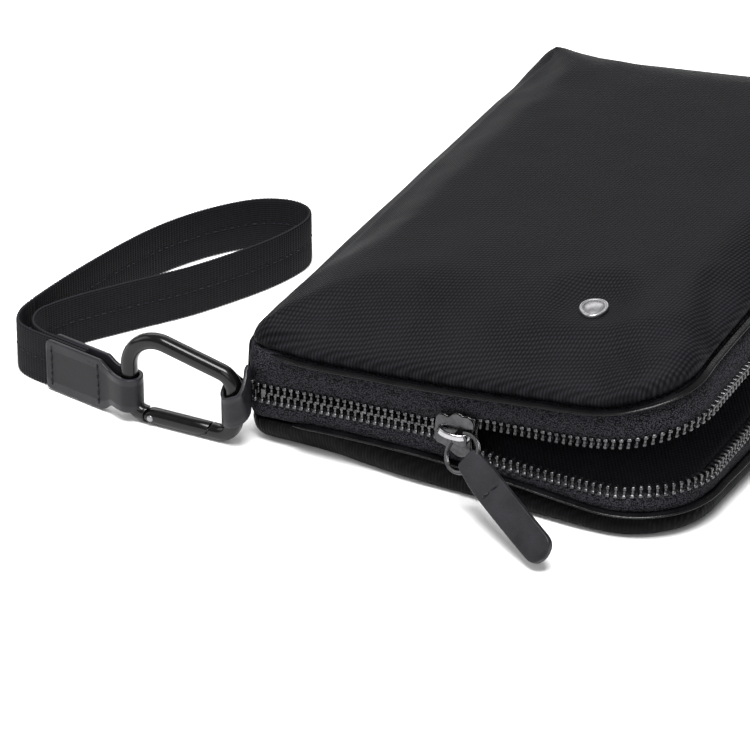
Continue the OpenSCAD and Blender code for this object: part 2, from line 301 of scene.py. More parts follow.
def twill_cloth(name, turn, low, high, pitch=1.15):
    """Fine diagonal twill with a cloudy, fibrous tone."""
    n = Nodes(name, Roughness=0.6, Sheen_Weight=0.0, Specular_IOR_Level=0.05)
    lines = n.ribs(pitch, (0, 0, turn), 1.6, 3.0)
    picks = n.ribs(pitch * 1.3, (0, 0, turn + 68), 1.8, 3.0)
    sides = n.ribs(pitch, (0, 62, turn), 1.2, 3.0)
    weave = n.calc("MULTIPLY", n.calc("ADD", n.calc("MULTIPLY", lines, 0.75), 0.25),
                   n.calc("ADD", n.calc("MULTIPLY", picks, 0.6), 0.4))
    cloudy = n.grain(24, 3.0)
    fibre = n.grain(0.42, 3.0, 0.7)
    spots = n.calc("ADD", cloudy, fibre)
    shade = n.calc("ADD", n.calc("MULTIPLY", weave, 0.5), n.calc("MULTIPLY", spots, 0.3))
    colour = n.greys(shade, low, high, 0.3, 0.8)
    rough = n.add("MapRange", {"Value": cloudy, "To Min": 0.42, "To Max": 0.66})
    return n.finish(colour, rough, [(n.grain(9, 3.0), 0.3, 0.6), (weave, 0.9, 0.2), (sides, 0.1, 0.1),
                                    (fibre, 0.5, 0.08)])


def knit_cloth(name, low, high):
    """The speckled knit of the zip tape."""
    n = Nodes(name, Roughness=0.8, Sheen_Weight=0.0, Specular_IOR_Level=0.08)
    loops = n.cells(0.45)
    fuzz = n.grain(0.4, 3.0, 0.6)
    rows = n.ribs(0.75, (0, 90, 0), 2.0, 1.5)
    mix = n.calc("ADD", n.calc("MULTIPLY", loops, 0.55), n.calc("MULTIPLY", fuzz, 0.45))
    colour = n.greys(mix, high, low, 0.28, 0.6)
    return n.finish(colour, None, [(loops, -0.9, 0.25), (rows, 0.35, 0.12), (fuzz, 0.6, 0.12)])


def leather(name, low, high, rough=0.5, grain=0.9, scale=1.0):
    """Fine-grained leather with small creases."""
    n = Nodes(name, Specular_IOR_Level=0.22)
    pores = n.cells(grain)
    cloudy = n.grain(9 * scale, 4.0, 0.6)
    fine = n.grain(0.5, 3.0)
    shade = n.calc("ADD", n.calc("MULTIPLY", cloudy, 0.7), n.calc("MULTIPLY", fine, 0.3))
    sheen = n.add("MapRange", {"Value": cloudy, "To Min": rough - 0.1, "To Max": rough + 0.12})
    return n.finish(n.greys(shade, low, high, 0.35, 0.68), sheen,
                    [(cloudy, 0.2, 0.5), (pores, 0.28, 0.12), (fine, 0.25, 0.05)])


def worn_metal(name, low, high, rough, metallic=1.0, scratch=0.12):
    """Plated metal with rubbed patches and faint scratches."""
    n = Nodes(name, Metallic=metallic)
    n.tint = 1.02
    n.shader.inputs["Specular IOR Level"].default_value = 0.5 if metallic else 0.3
    patches = n.grain(3.5, 4.0, 0.6)
    lines = n.grain(0.5, 2.0, at=n.turned((20, 35, 10), (1, 14, 14)))
    shine = n.add("MapRange", {"Value": n.calc("ADD", n.calc("MULTIPLY", patches, 0.6),
                                               n.calc("MULTIPLY", lines, 0.4)),
                               "To Min": rough - 0.1, "To Max": rough + 0.14})
    return n.finish(n.greys(patches, low, high), shine, [(patches, 0.05, 0.15), (lines, scratch, 0.02)])


def ribbed_webbing(name, low, high):
    """Woven strap: fine warp ends and fuzz; its cross ribs are in the mesh."""
    n = Nodes(name, Roughness=0.66, Sheen_Weight=0.0, Specular_IOR_Level=0.1)
    warp = n.ribs(0.8, (0, 90, 0), 0.4, 3.0)
    fuzz = n.grain(0.35, 3.0, 0.6)
    shade = n.calc("ADD", n.calc("MULTIPLY", warp, 0.5), n.calc("MULTIPLY", fuzz, 0.5))
    return n.finish(n.greys(shade, low, high), None, [(warp, 0.4, 0.12), (fuzz, 0.5, 0.08)])


TWILL_TOP = twill_cloth("twill_top", 8, 0.0003, 0.013)
TWILL_BASE = twill_cloth("twill_base", 4, 0.0005, 0.004)
TWILL_SPINE = twill_cloth("twill_spine", 10, 0.0005, 0.009)
LINING = twill_cloth("lining_cloth", -30, 0.012, 0.04, 1.1)
KNIT = knit_cloth("tape_knit", 0.001, 0.04)
EDGE_LEATHER = leather("piping_leather", 0.001, 0.003, 0.24, 0.5)
PULL_LEATHER = leather("pull_leather", 0.004, 0.016, 0.42, 0.55)
TAB_LEATHER = leather("tab_leather", 0.005, 0.012, 0.48, 0.6)
# Cut edges of the leather strips, a little lighter than their faces: a painted highlight along the rims.
LEATHER_EDGE_LIT = leather("leather_edge_highlight", 0.010, 0.02, 0.3, 0.4)
TEETH = worn_metal("teeth_nickel", 0.05, 0.12, 0.3)
SLIDER = worn_metal("slider_nickel", 0.035, 0.09, 0.22)
# The bridge bar's nickel, many times lighter than the slider's own: a painted highlight where the bar catches
# the light.
SLIDER_BAR_LIT = worn_metal("nickel_bar_highlight", 0.3, 0.42, 0.17)
BADGE = worn_metal("badge_silver", 0.3, 0.45, 0.3)
BLACK_METAL = worn_metal("black_enamel", 0.001, 0.003, 0.17, 0.0, 0.04)
PIN = worn_metal("pin_steel", 0.2, 0.32, 0.34)
THREAD = knit_cloth("thread", 0.006, 0.05)
WEBBING = ribbed_webbing("webbing_weave", 0.001, 0.012)

# ---------------------------------------------------------------- the pouch's rim
HALF_W = 78.0
HALF_L = 117.0
FRONT = 121.0          # straight run of the zip along the front
TURN_R = 25.0          # radius of the zip line at the two right corners
BACK_R = 6.0           # radius where the gusset turns into the spine
START_X = -70.0
ZIP_Y = 115.0
ARC = TURN_R * math.pi / 2
SIDE = 180.0
RUN = 2 * (FRONT + ARC) + SIDE
BACK_ARC = BACK_R * math.pi / 2
HINGE_X = -78.0
HINGE_Z = 33.4
GAPE = math.tan(math.radians(GAPE_DEG))


def rim(s, out=0.0):
    """Place and outward direction on the zip line, s along it from its closed end."""
    if s > RUN / 2:
        p, n = rim(RUN - s, out)
        return Vector((p.x, -p.y, 0)), Vector((n.x, -n.y, 0))
    if s < -BACK_ARC:
        n = Vector((-1, 0, 0))
        p = Vector((START_X - BACK_R, BACK_R - ZIP_Y - BACK_ARC - s, 0))
    elif s < 0:
        a = -math.pi / 2 + s / BACK_R
        n = Vector((math.cos(a), math.sin(a), 0))
        p = Vector((START_X, BACK_R - ZIP_Y, 0)) + n * BACK_R
    elif s < FRONT:
        n = Vector((0, -1, 0))
        p = Vector((START_X + s, -ZIP_Y, 0))
    elif s < FRONT + ARC:
        a = -math.pi / 2 + (s - FRONT) / TURN_R
        n = Vector((math.cos(a), math.sin(a), 0))
        p = Vector((START_X + FRONT, TURN_R - ZIP_Y, 0)) + n * TURN_R
    else:
        n = Vector((1, 0, 0))
        p = Vector((START_X + FRONT + TURN_R, TURN_R - ZIP_Y + s - FRONT - ARC, 0))
    return p + n * out, n


# Heights and outward offsets of the seams, as (distance along the zip, millimetres)
LOWER_PIPE_Z = [(-12, 9.2), (11, 9.9), (21, 10.8), (50, 11.3), (67, 11.0), (92, 9.8), (109, 8.9), (121, 8.5),
                (140, 8.7), (160, 9.0), (340, 9.0), (380, 9.0), (RUN, 9.5), (RUN + 14, 9.2)]
LOWER_PIPE_OUT = [(-12, 1.0), (11, 1.2), (70, 1.4), (92, 2.2), (109, 3.2), (121, 3.8), (140, 3.6), (160, 2.8),
                  (176, 3.6), (203, 4.6), (260, 4.4), (340, 2.6), (380, 2.0), (RUN, 1.2), (RUN + 14, 1.0)]
LOWER_FOOT = [(-10, 15.0), (0, 15.2), (29, 16.8), (61, 18.1), (69, 17.0), (76, 14.4), (85, 13.2), (105, 12.8),
              (125, 13.4), (133, 14.4), (160, 14.6), (340, 14.6), (420, 13.6), (470, 15.0), (RUN, 17.0)]
LOWER_OUT = [(0, 0), (80, 0.2), (105, 0.9), (121, 1.5), (160, 2.0), (250, 2.4), (340, 1.8), (380, 1.0),
             (RUN, 0)]
UPPER_FOOT = [(-10, 22.0), (0, 22.2), (29, 23.8), (61, 25.1), (68, 26.0), (77, 28.9), (87, 29.8), (105, 31.0),
              (117, 32.5), (127, 34.4), (140, 37.4), (152, 39.6), (165, 41.0), (335, 41.0), (370, 38.5),
              (400, 34.5), (440, 29.6), (470, 26.4), (RUN, 24.0)]
UPPER_OUT = [(0, 0), (85, 0), (121, 0.4), (160, 1.0), (340, 1.0), (380, 0.4), (RUN, 0)]
UPPER_PIPE_Z = [(-40, 34.3), (-12, 34.2), (4, 34.0), (15, 33.3), (40, 34.5), (67, 36.4), (96, 39.3),
                (118, 41.7), (133, 45.6), (148, 48.2), (165, 49.8), (335, 49.8), (370, 46.5), (400, 43.5),
                (450, 39.0), (RUN, 35.6), (RUN + 40, 34.3)]
UPPER_PIPE_OUT = [(-12, 1.0), (100, 1.3), (121, 0.9), (140, -1.0), (160, -3.0), (180, -3.5), (320, -3.5),
                  (340, -3.0), (380, 0.4), (RUN, 1.2), (RUN + 14, 1.0)]
FLOOR_INSET = [(-60, 3.0), (-12, 4.6), (24, 4.4), (43, 1.6), (65, 0.0), (88, -0.6), (107, -1.2),
               (121, -1.6), (133, -0.8), (142, 0.2), (157, 0.6), (195, -0.4), (340, 1.0), (400, 3.0),
               (RUN, 4.0), (RUN + 60, 3.0)]
LOOP_START = -BACK_ARC - (HALF_L - 8.0)
LOOP_LENGTH = RUN + 2 * BACK_ARC + 2 * (HALF_L - 8.0)


def cover_plane(x):
    """Height of the cover's inner face at x."""
    return HINGE_Z + (x - HINGE_X) * GAPE


ACROSS = 34            # cells of a panel's skin along X
ALONG = 50             # and along Y


def loop_places():
    """Distances round the whole rim: four sides that meet at the middles of the corners."""
    near = -BACK_ARC / 2
    far = FRONT + ARC / 2
    left = LOOP_LENGTH - RUN + 2 * near
    sides = ((near, far - near, ACROSS), (far, RUN - 2 * far, ALONG), (RUN - far, far - near, ACROSS),
             (RUN - near, left, ALONG))
    places = []
    for start, length, count in sides:
        for k in range(count):
            s = start + length * k / count
            places.append(s - LOOP_LENGTH if s > LOOP_START + LOOP_LENGTH else s)
    return places


PLACES = loop_places()


# ---------------------------------------------------------------- padded panels
def swollen(obj, pinned, pressure, cap, quality=4):
    """Lets a pad swell as cloth between its pinned seams, and keeps each move under cap mm."""
    mesh = obj.data
    before = [v.co.copy() for v in mesh.vertices]
    group = obj.vertex_groups.new(name="seam")
    for v in mesh.vertices:
        weight = pinned(v.co / MM)
        if weight > 0:
            group.add([v.index], weight, "REPLACE")
    cloth = obj.modifiers.new("cloth", "CLOTH")
    values = cloth.settings
    values.quality = quality
    values.mass = 0.15
    values.tension_stiffness = 12
    values.compression_stiffness = 12
    values.shear_stiffness = 4
    values.bending_stiffness = 0.8
    values.use_pressure = True
    values.uniform_pressure_force = pressure
    values.effector_weights.gravity = 0
    values.vertex_group_mass = "seam"
    cloth.collision_settings.use_collision = False
    cloth.point_cache.frame_start = 1
    cloth.point_cache.frame_end = CLOTH_FRAMES
    scene = bpy.context.scene
    for f in range(1, CLOTH_FRAMES + 1):
        scene.frame_set(f)
    seen = obj.evaluated_get(bpy.context.evaluated_depsgraph_get())
    after = [v.co.copy() for v in seen.data.vertices]
    obj.modifiers.remove(cloth)
    obj.vertex_groups.remove(group)
    scene.frame_set(1)
    for v, a, b in zip(mesh.vertices, before, after):
        move = b - a
        if move.length > cap * MM:
            move *= cap * MM / move.length
        v.co = a + move
    mesh.update()


def filled(ring, height):
    """Points and faces of a skin inside a closed ring of the rim, made by blending its four sides."""
    count = len(ring)
    south = ring[:ACROSS + 1]
    east = ring[ACROSS:ACROSS + ALONG + 1]
    north = ring[ACROSS + ALONG:2 * ACROSS + ALONG + 1][::-1]
    west = [ring[-k % count] for k in range(ALONG + 1)]
    inside, index = [], {}
    for i in range(1, ACROSS):
        for j in range(1, ALONG):
            u, v = i / ACROSS, j / ALONG
            p = south[i] * (1 - v) + north[i] * v + west[j] * (1 - u) + east[j] * u
            p = p - south[0] * ((1 - u) * (1 - v)) - south[-1] * (u * (1 - v))
            p = p - north[0] * ((1 - u) * v) - north[-1] * (u * v)
            index[i, j] = count + len(inside)
            inside.append(Vector((p.x, p.y, height(p.x, p.y))))

    def at(i, j):
        if j == 0:
            return i
        if i == ACROSS:
            return ACROSS + j
        if j == ALONG:
            return ACROSS + ALONG + (ACROSS - i)
        if i == 0:
            return count - j
        return index[i, j]

    faces = [(at(i, j), at(i + 1, j), at(i + 1, j + 1), at(i, j + 1))
             for i in range(ACROSS) for j in range(ALONG)]
    return inside, faces


def panel_skin(rings, low_height, high_height):
    """A closed skin: side rings, with a filled face below the first and above the last."""
    count = len(rings[0])
    verts, faces = loft(rings, True, False)
    for ring, first, height, flip in ((rings[0], 0, low_height, True),
                                      (rings[-1], (len(rings) - 1) * count, high_height, False)):
        inside, cells = filled(ring, height)
        start = len(verts)
        verts = verts + inside
        for cell in cells:
            face = tuple(first + k if k < count else start + k - count for k in cell)
            faces.append(tuple(reversed(face)) if flip else face)
    return verts, faces


def rim_gap(x, y):
    """How far a place is inside the pouch's outline."""
    corner = 27.0 if x > 0 else 8.0
    cx = max(abs(x) - (HALF_W - corner), 0.0)
    cy = max(abs(y) - (HALF_L - corner), 0.0)
    if cx > 0 and cy > 0:
        return corner - math.hypot(cx, cy)
    return min(HALF_W - abs(x), HALF_L - abs(y))


def top_edge(s):
    """The cover pad's seam: distance inside the outline, and height."""
    p, n = rim(s, smooth_at(UPPER_PIPE_OUT, s) - 0.9)
    return p, n, smooth_at(UPPER_PIPE_Z, s)


RIM_DROP = []
for place in PLACES[::3]:
    spot, _ = rim(place)
    RIM_DROP.append((spot.x, spot.y, smooth_at(UPPER_PIPE_Z, place) - cover_plane(spot.x) - 1.3))


def drop(x, y):
    """How far the cover sags below its plane: the rim's sag, fading inward."""
    fade = 1 - ease(rim_gap(x, y) / 46)
    if fade <= 0:
        return 0.0
    total = weight = 0.0
    for px, py, d in RIM_DROP:
        w = 1 / ((px - x) ** 2 + (py - y) ** 2 + 9) ** 2
        total += w * d
        weight += w
    return fade * total / weight


SEAM_RISE = 1.3         # the seam above the hinge plane
WALL_RISE = 9.4         # top of the pad's side wall above the seam
CROWN_RISE = 12.6


def crown_height(x, y):
    gap = rim_gap(x, y)
    seam = cover_plane(x) + SEAM_RISE + drop(x, y)
    return seam + WALL_RISE + (CROWN_RISE - WALL_RISE) * ease((gap - 4) / 18) + 1.2 * ease(gap / 75)


def top_pad_skin():
    """The cover pad: from its inner face out over the seam and up to its crown."""
    profile = [(5.0, 0.1), (2.6, 0.3), (0.9, 0.7), (0.0, 1.5), (-0.5, 3.0), (-0.1, 4.9), (1.1, 6.7),
               (3.1, 8.3), (6.0, 9.6)]
    rings = []
    for inset, rise in profile:
        ring = []
        for s in PLACES:
            p, n, z = top_edge(s)
            spine = ease(-n.x)
            ring.append(p - n * (inset + 1.2 * spine * ease(rise / 6)) + Vector((0, 0, z + rise)))
        rings.append(ring)
    for q in rings[-1]:
        q.z = q.z * 0.4 + crown_height(q.x, q.y) * 0.6
    return panel_skin(rings, lambda x, y: cover_plane(x) + 1.6 + drop(x, y), crown_height)


def bottom_pad_skin():
    """The lower pad: from its flat underside out to its bulging wall and in over the top."""
    names = [[] for _ in range(7)]
    floor_ring, low_ring, wide_ring, tall_ring, high_ring, seam_ring, tuck_ring = names
    up = Vector((0, 0, 1))
    for s in PLACES:
        top = smooth_at(LOWER_PIPE_Z, s) - 0.7
        out = smooth_at(LOWER_PIPE_OUT, s) - 0.8
        inset = smooth_at(FLOOR_INSET, s)
        foot, n = rim(s, 2.0 - inset)
        edge, n = rim(s, out)
        full = ease((6 - inset) / 5)
        floor_ring.append(foot - n * 3.5)
        low_ring.append(foot + up * 0.6)
        wide_ring.append(foot * 0.6 + edge * 0.4 + n * (0.5 + 1.0 * full) + up * (top * 0.32))
        tall_ring.append(foot * 0.3 + edge * 0.7 + n * (0.6 + 1.2 * full) + up * (top * 0.6))
        high_ring.append(edge + n * (0.2 + 0.5 * full) + up * (top * 0.85))
        seam_ring.append(edge + up * top)
        tuck_ring.append(edge - n * 3.0 + up * (top + 0.1))
    return panel_skin(names, lambda x, y: 0.0, lambda x, y: 8.7)


def dimple(p, at, wide, long, turn, deep):
    """A soft dent of a height field, long along its turned axis."""
    a = math.radians(turn)
    dx, dy = p[0] - at[0], p[1] - at[1]
    u = (dx * math.cos(a) + dy * math.sin(a)) / long
    v = (-dx * math.sin(a) + dy * math.cos(a)) / wide
    return -deep * math.exp(-(u * u + v * v))


def cover_pad():
    obj = piece("cover_pad", *top_pad_skin(), TWILL_TOP, None, "twill")
    swollen(obj, lambda p: 1.0 if p.z < smooth_rim_z(p) + 2.0 else 0.0, 3.0, 2.6)
    for v in obj.data.vertices:
        p = v.co / MM
        rise = p.z - smooth_rim_z(p)
        if rise > 2.2:
            soft = ease((rise - 2.2) / 6)
            dz = 0.55 * hills(p, 34, 3.1) + 0.25 * hills(p, 13, 7.7)
            dz += dimple(p, (40, -99), 4.5, 13, -20, 1.7)
            dz += dimple(p, (58, -93), 4.0, 12, 40, 1.3)
            dz += dimple(p, (24, -105), 4.0, 16, 8, 0.9)
            dz -= dimple(p, (44, -88), 7.0, 20, 25, 1.1)
            dz += dimple(p, (-46, -106), 5.0, 18, -6, 0.6)
            v.co.z += dz * soft * MM
    seat_badge(obj)
    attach(obj, "cover")
    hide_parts("top_panel", "top_foam")
    return finer(obj)


def seat_badge(obj):
    """Draws the pad's top down to the plane of the badge, which is pinned through the cloth."""
    low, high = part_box("badge")
    middle = (low + high) / 2 / MM
    for v in obj.data.vertices:
        p = v.co / MM
        away = math.hypot(p.x - middle.x, p.y - middle.y)
        if p.z > middle.z - 8 and away < 22:
            level = low.z / MM + 0.15 + (p.x - middle.x) * GAPE
            held = 1 - ease((away - 6) / 14)
            v.co.z = (p.z + (level - p.z) * held) * MM


def smooth_rim_z(p):
    """Height of the cover's seam nearest to a point."""
    return cover_plane(p.x) + SEAM_RISE + drop(p.x, p.y)


def base_pad():
    obj = piece("base_pad", *bottom_pad_skin(), TWILL_BASE, None, "twill")
    swollen(obj, lambda p: 1.0 if p.z < 1.0 or p.z > 7.4 else 0.0, 3.0, 1.2)
    for v in obj.data.vertices:
        p = v.co / MM
        if 1.2 < p.z < 7.5:
            n = Vector((p.x, p.y, 0)).normalized()
            v.co += n * (0.8 * hills(p, 15, 1.3) + 0.35 * hills(p, 6, 5.1)) * MM
        v.co.z = max(v.co.z, 0.0)
    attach(obj, "base")
    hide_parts("bottom_panel", "bottom_foam")
    return finer(obj)


def lining(name, body, node, z_of):
    """A thin lining cloth over the inside of a panel, with a turned hem."""
    skins = []
    for inset, lift in ((6.0, 0.0), (5.2, 0.35), (5.6, 0.75), (7.5, 0.8), (9.0, 0.5), (10.5, 0.7)):
        ring = []
        for s in PLACES:
            p = rim(s, -inset)[0]
            ring.append(Vector((p.x, p.y, z_of(p.x, p.y, lift))))
        skins.append(ring)
    verts, faces = panel_skin(skins, lambda x, y: z_of(x, y, 0.0),
                              lambda x, y: z_of(x, y, 0.7 + 0.14 * hills((x, y, 0), 16, 2.0)))
    if z_of(0, 0, 1.0) < z_of(0, 0, 0.0):
        faces = [tuple(reversed(face)) for face in faces]
    obj = piece(name, verts, faces, LINING, body, "lining", [node])
    return finer(obj)


# ---------------------------------------------------------------- piping, gussets and spine
def piping(name, body, node, z_table, out_table, start, end, lift):
    """A leather piping that tapers in at its start and sits on the panel's seam."""
    path, ups, scales = [], [], []
    count = int((end - start) / 2.2)
    for k in range(count + 1):
        s = start + (end - start) * k / count
        wobble = 0.15 * hills((s, 0, 0), 9, 4.0)
        p = rim(s, smooth_at(out_table, s) + wobble)[0]
        path.append(p + Vector((0, 0, smooth_at(z_table, s) + lift + 0.5 * wobble)))
        ups.append((0, 0, 1))
        ends = min(ease((s - start) / 9 + 0.35), ease((end - s) / 9 + 0.35))
        scales.append(ends)
    section = [(0.8, 0.0), (0.7, 0.46), (0.3, 0.74), (-0.3, 0.76), (-0.9, 0.5), (-2.2, 0.36), (-2.2, -0.3),
               (-0.9, -0.46), (-0.3, -0.74), (0.3, -0.7), (0.7, -0.44)]
    obj = piece(name, *swept(path, [(-a, b) for a, b in section], False, ups, scales), EDGE_LEATHER, body,
                "piping_leather", [node])
    return finer(obj)


def gusset(name, body, node, foot_table, foot_out, pipe_table, pipe_out, side, bulge):
    """The knitted tape between a panel and its row of teeth: a band that swells outward."""
    start, end = -BACK_ARC - 4, RUN + BACK_ARC + 4
    count = int((end - start) / 2.4)
    section = []
    steps = 8
    for k in range(count + 1):
        s = start + (end - start) * k / count
        z0 = smooth_at(pipe_table, s)
        z1 = smooth_at(foot_table, s) + side * -1.0
        o0 = smooth_at(pipe_out, s) - 1.2
        o1 = smooth_at(foot_out, s)
        outer, inner = [], []
        for j in range(steps + 1):
            t = j / steps
            swell = bulge * math.sin(math.pi * min(1, t * 1.06)) + 0.22 * hills((s, t * 9, 0), 8, 6.0 + side)
            swell *= 1 - 0.8 * ease((t - 0.45) / 0.35) * ease((80 - s) / 8)
            p, n = rim(s, o0 + (o1 - o0) * t + swell + 0.45)
            outer.append(p + Vector((0, 0, z0 + (z1 - z0) * t)))
            inner.append(p - n * 0.9 + Vector((0, 0, z0 + (z1 - z0) * t)))
        # A hem that runs in under the panel and meets its lining
        hem, n = rim(s, -1.5 - 6.0 * ease(s / 8) * ease((RUN - s) / 8))
        hem_top = hem + Vector((0, 0, z0 + side * 0.6))
        hem_low = hem + Vector((0, 0, z0 - side * 0.2))
        section.append([hem_top] + outer + inner[::-1] + [hem_low])
    verts, faces = loft(section)
    if side < 0:
        faces = [tuple(reversed(f)) for f in faces]
    return finer(piece(name, verts, faces, KNIT, body, "zip_tape", [node]))


def spine_cloth():
    """The cloth back between the two panels, swelling outward."""
    rings = []
    for k in range(13):
        t = k / 12
        z = 7.6 + (35.8 - 7.6) * t
        ring_out, ring_in = [], []
        for j in range(47):
            y = -112.6 + 225.2 * j / 46
            ends = 1.8 * ease((abs(y) - 106) / 8)
            swell = 1.0 * math.sin(math.pi * t) + 0.35 * hills((0, y, z), 16, 9.0)
            ring_out.append(Vector((HINGE_X + 0.3 + ends - swell, y, z)))
            ring_in.append(Vector((HINGE_X + 1.7 + ends - swell, y, z)))
        rings.append(ring_out + ring_in[::-1])
    verts, faces = loft(rings)
    obj = piece("spine_cloth", verts, [tuple(reversed(f)) for f in faces], TWILL_SPINE, None, "twill")
    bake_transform(obj)
    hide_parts("spine_panel")
    return finer(obj)


# ---------------------------------------------------------------- zip teeth
def tooth():
    """One metal tooth: a clamped foot, a waist and a rounded head; z 0 is the foot's end, z up is inward."""
    levels = [(-0.06, 0.4, 1.0), (0.04, 0.6, 1.34), (0.24, 0.72, 1.5), (0.85, 0.72, 1.5), (1.05, 0.6, 1.4),
              (1.12, 0.42, 1.04), (2.5, 0.38, 0.98), (2.7, 0.5, 1.1), (3.0, 0.58, 1.2), (3.55, 0.56, 1.14),
              (3.8, 0.44, 0.98), (3.92, 0.26, 0.7)]
    rings = []
    for z, half_wide, half_deep in levels:
        corner = min(half_wide, half_deep) * 0.4
        rings.append([Vector((a, b, z)) for a, b in box_section(2 * half_wide, 2 * half_deep, corner, 2)])
    return loft(rings)


def tooth_row(name, body, node, foot_table, out_table, side, shift, extra):
    """Teeth on a path; side 1 points up from the lower tape and -1 points down from the upper one."""
    shape = tooth()
    parts = []
    pitch = 2.4
    count = int((RUN + 2 * extra) / pitch)
    for k in range(count):
        s = -extra + pitch * (k + shift)
        p, n = rim(s, smooth_at(out_table, s))
        along = n.cross(Vector((0, 0, 1)))
        ahead = (smooth_at(foot_table, s + 1) - smooth_at(foot_table, s - 1)) / 2
        up = (Vector((0, 0, 1)) + along * -ahead * 0.6).normalized() * side
        p = p + Vector((0, 0, smooth_at(foot_table, s)))
        turn = Matrix((-along * side, n, up)).transposed().to_4x4()
        if turn.determinant() < 0:
            turn = Matrix((along * side, n, up)).transposed().to_4x4()
        parts.append(moved(shape, Matrix.Translation(p) @ turn))
    return piece(name, *joined(parts), TEETH, body, "teeth_metal", [node])


# ---------------------------------------------------------------- slider, ring and pull
def slider_pieces():
    """The slider: a shield-shaped front plate and a back plate joined by a wedge, and a bridge bar."""
    at = (-0.2, 22.6)
    tip = [(-6.2, 3.4), (-6.3, 0.0), (-6.1, -3.0), (-5.3, -4.3), (-3.4, -4.6), (-1.4, -5.3), (0.6, -6.6),
           (2.6, -7.3), (4.6, -6.6), (5.9, -4.6), (5.6, -1.6), (5.5, 1.2), (6.3, 3.8), (6.0, 6.0), (4.4, 7.0),
           (2.4, 6.7), (0.8, 7.3), (-0.6, 6.7), (-2.2, 5.2), (-4.2, 5.5), (-5.7, 5.0)]
    outline = rounded_path(tip, 3)
    front_y, back_y = -ZIP_Y - 2.15, -ZIP_Y + 1.15
    turn = Matrix(((1, 0, 0), (0, 0, -1), (0, 1, 0))).to_4x4()
    tilt = Matrix.Rotation(math.radians(4), 4, "Y")

    def plate(y, thick, edge):
        place = Matrix.Translation((at[0], y, at[1])) @ tilt @ turn
        return moved(slab(outline[::-1], 0.0, thick, edge), place)

    wedge_line = rounded_path([(1.0, 1.5), (1.0, -1.5), (5.0, -1.9), (5.6, 0), (5.0, 1.9)], 2)
    wedge = slab(wedge_line[::-1], -3.3, 3.6, 0.1)
    wedge_place = Matrix.Translation((at[0], front_y, at[1])) @ tilt @ turn
    flanges = []
    for side in (1, -1):
        rail = [(-5.6, 4.5 * side), (-2.0, 5.0 * side), (1.8, 6.1 * side), (4.6, 6.5 * side)]
        path = [wedge_place @ Vector((x, y, -0.55)) for x, y in rail]
        flanges.append(swept(path, box_section(0.9, 1.3, 0.3, 2), ups=[(0, -1, 0)] * 4))
    front = plate(front_y, 1.15, 0.3)
    back = plate(back_y + 1.0, 1.0, 0.3)
    parts = [front, back, moved(wedge, wedge_place)] + flanges
    body = piece("slider_shell", *joined(parts), SLIDER, "slider",
                 "slider_metal", ["slider_body"])
    creased(body)
    path, scales = [], []
    for t in range(13):
        u = t / 12
        x = -5.2 + 11.2 * u
        rise = math.sin(math.pi * u) ** 0.45
        path.append(Vector((at[0] + x, front_y - 0.6 - 3.6 * rise, at[1] + 0.9 - 0.07 * x)))
        scales.append(1.0 + 0.25 * (1 - rise))
    arch = swept(path, box_section(2.1, 1.2, 0.45, 3), ups=[(0, -1, 0.2)] * 13, scales=scales)
    # The bar takes the lighter nickel, a painted highlight.
    bar = piece("slider_arch", *arch,
                SLIDER_BAR_LIT, "slider", "slider_metal", ["slider_bridge"])
    finer(bar)


def rounded_path(points, steps):
    """A closed smooth line of (x, y) points."""
    out = []
    count = len(points)
    for i in range(count):
        p0, p1, p2, p3 = (Vector(points[(i + k) % count]) for k in (-1, 0, 1, 2))
        for j in range(steps):
            t = j / steps
            a = 2 * p1 + (p2 - p0) * t
            b = (2 * p0 - 5 * p1 + 4 * p2 - p3) * t * t
            c = (3 * p1 - p0 - 3 * p2 + p3) * t * t * t
            out.append(tuple((a + b + c) * 0.5))
    return out


def creased(obj, width=0.12):
    """A small bevel on hard edges."""
    m = obj.modifiers.new("edges", "BEVEL")
    m.width = width * MM
    m.segments = 2
    m.limit_method = "ANGLE"
    m.angle_limit = math.radians(40)
    return obj


RING_AT = Vector((0, -119.5, 21.0))
PULL_TURN = Matrix(((0.81704, 0.50484, -0.27843), (-0.51109, 0.41052, -0.75516),
                    (-0.26694, 0.75935, 0.59347))).to_4x4()


def ring_piece():
    """A split ring of two turns of flat wire."""
    place = Matrix.Translation(RING_AT) @ PULL_TURN
    path, ups = [], []
    turns, steps = 2.0, 112
    for k in range(steps + 1):
        a = 2 * math.pi * turns * k / steps + 2.4
        radial = Vector((math.cos(a), math.sin(a), 0))
        spot = Vector((6.3, 0, (k / steps - 0.5) * 1.3)) + radial * 6.3
        path.append(place @ spot)
        ups.append(place.to_3x3() @ radial)
    section = box_section(0.62, 1.3, 0.26, 3)
    finer(piece("split_ring", *swept(path, section, ups=ups), SLIDER, "ring", "slider_metal", ["pull_ring"]))


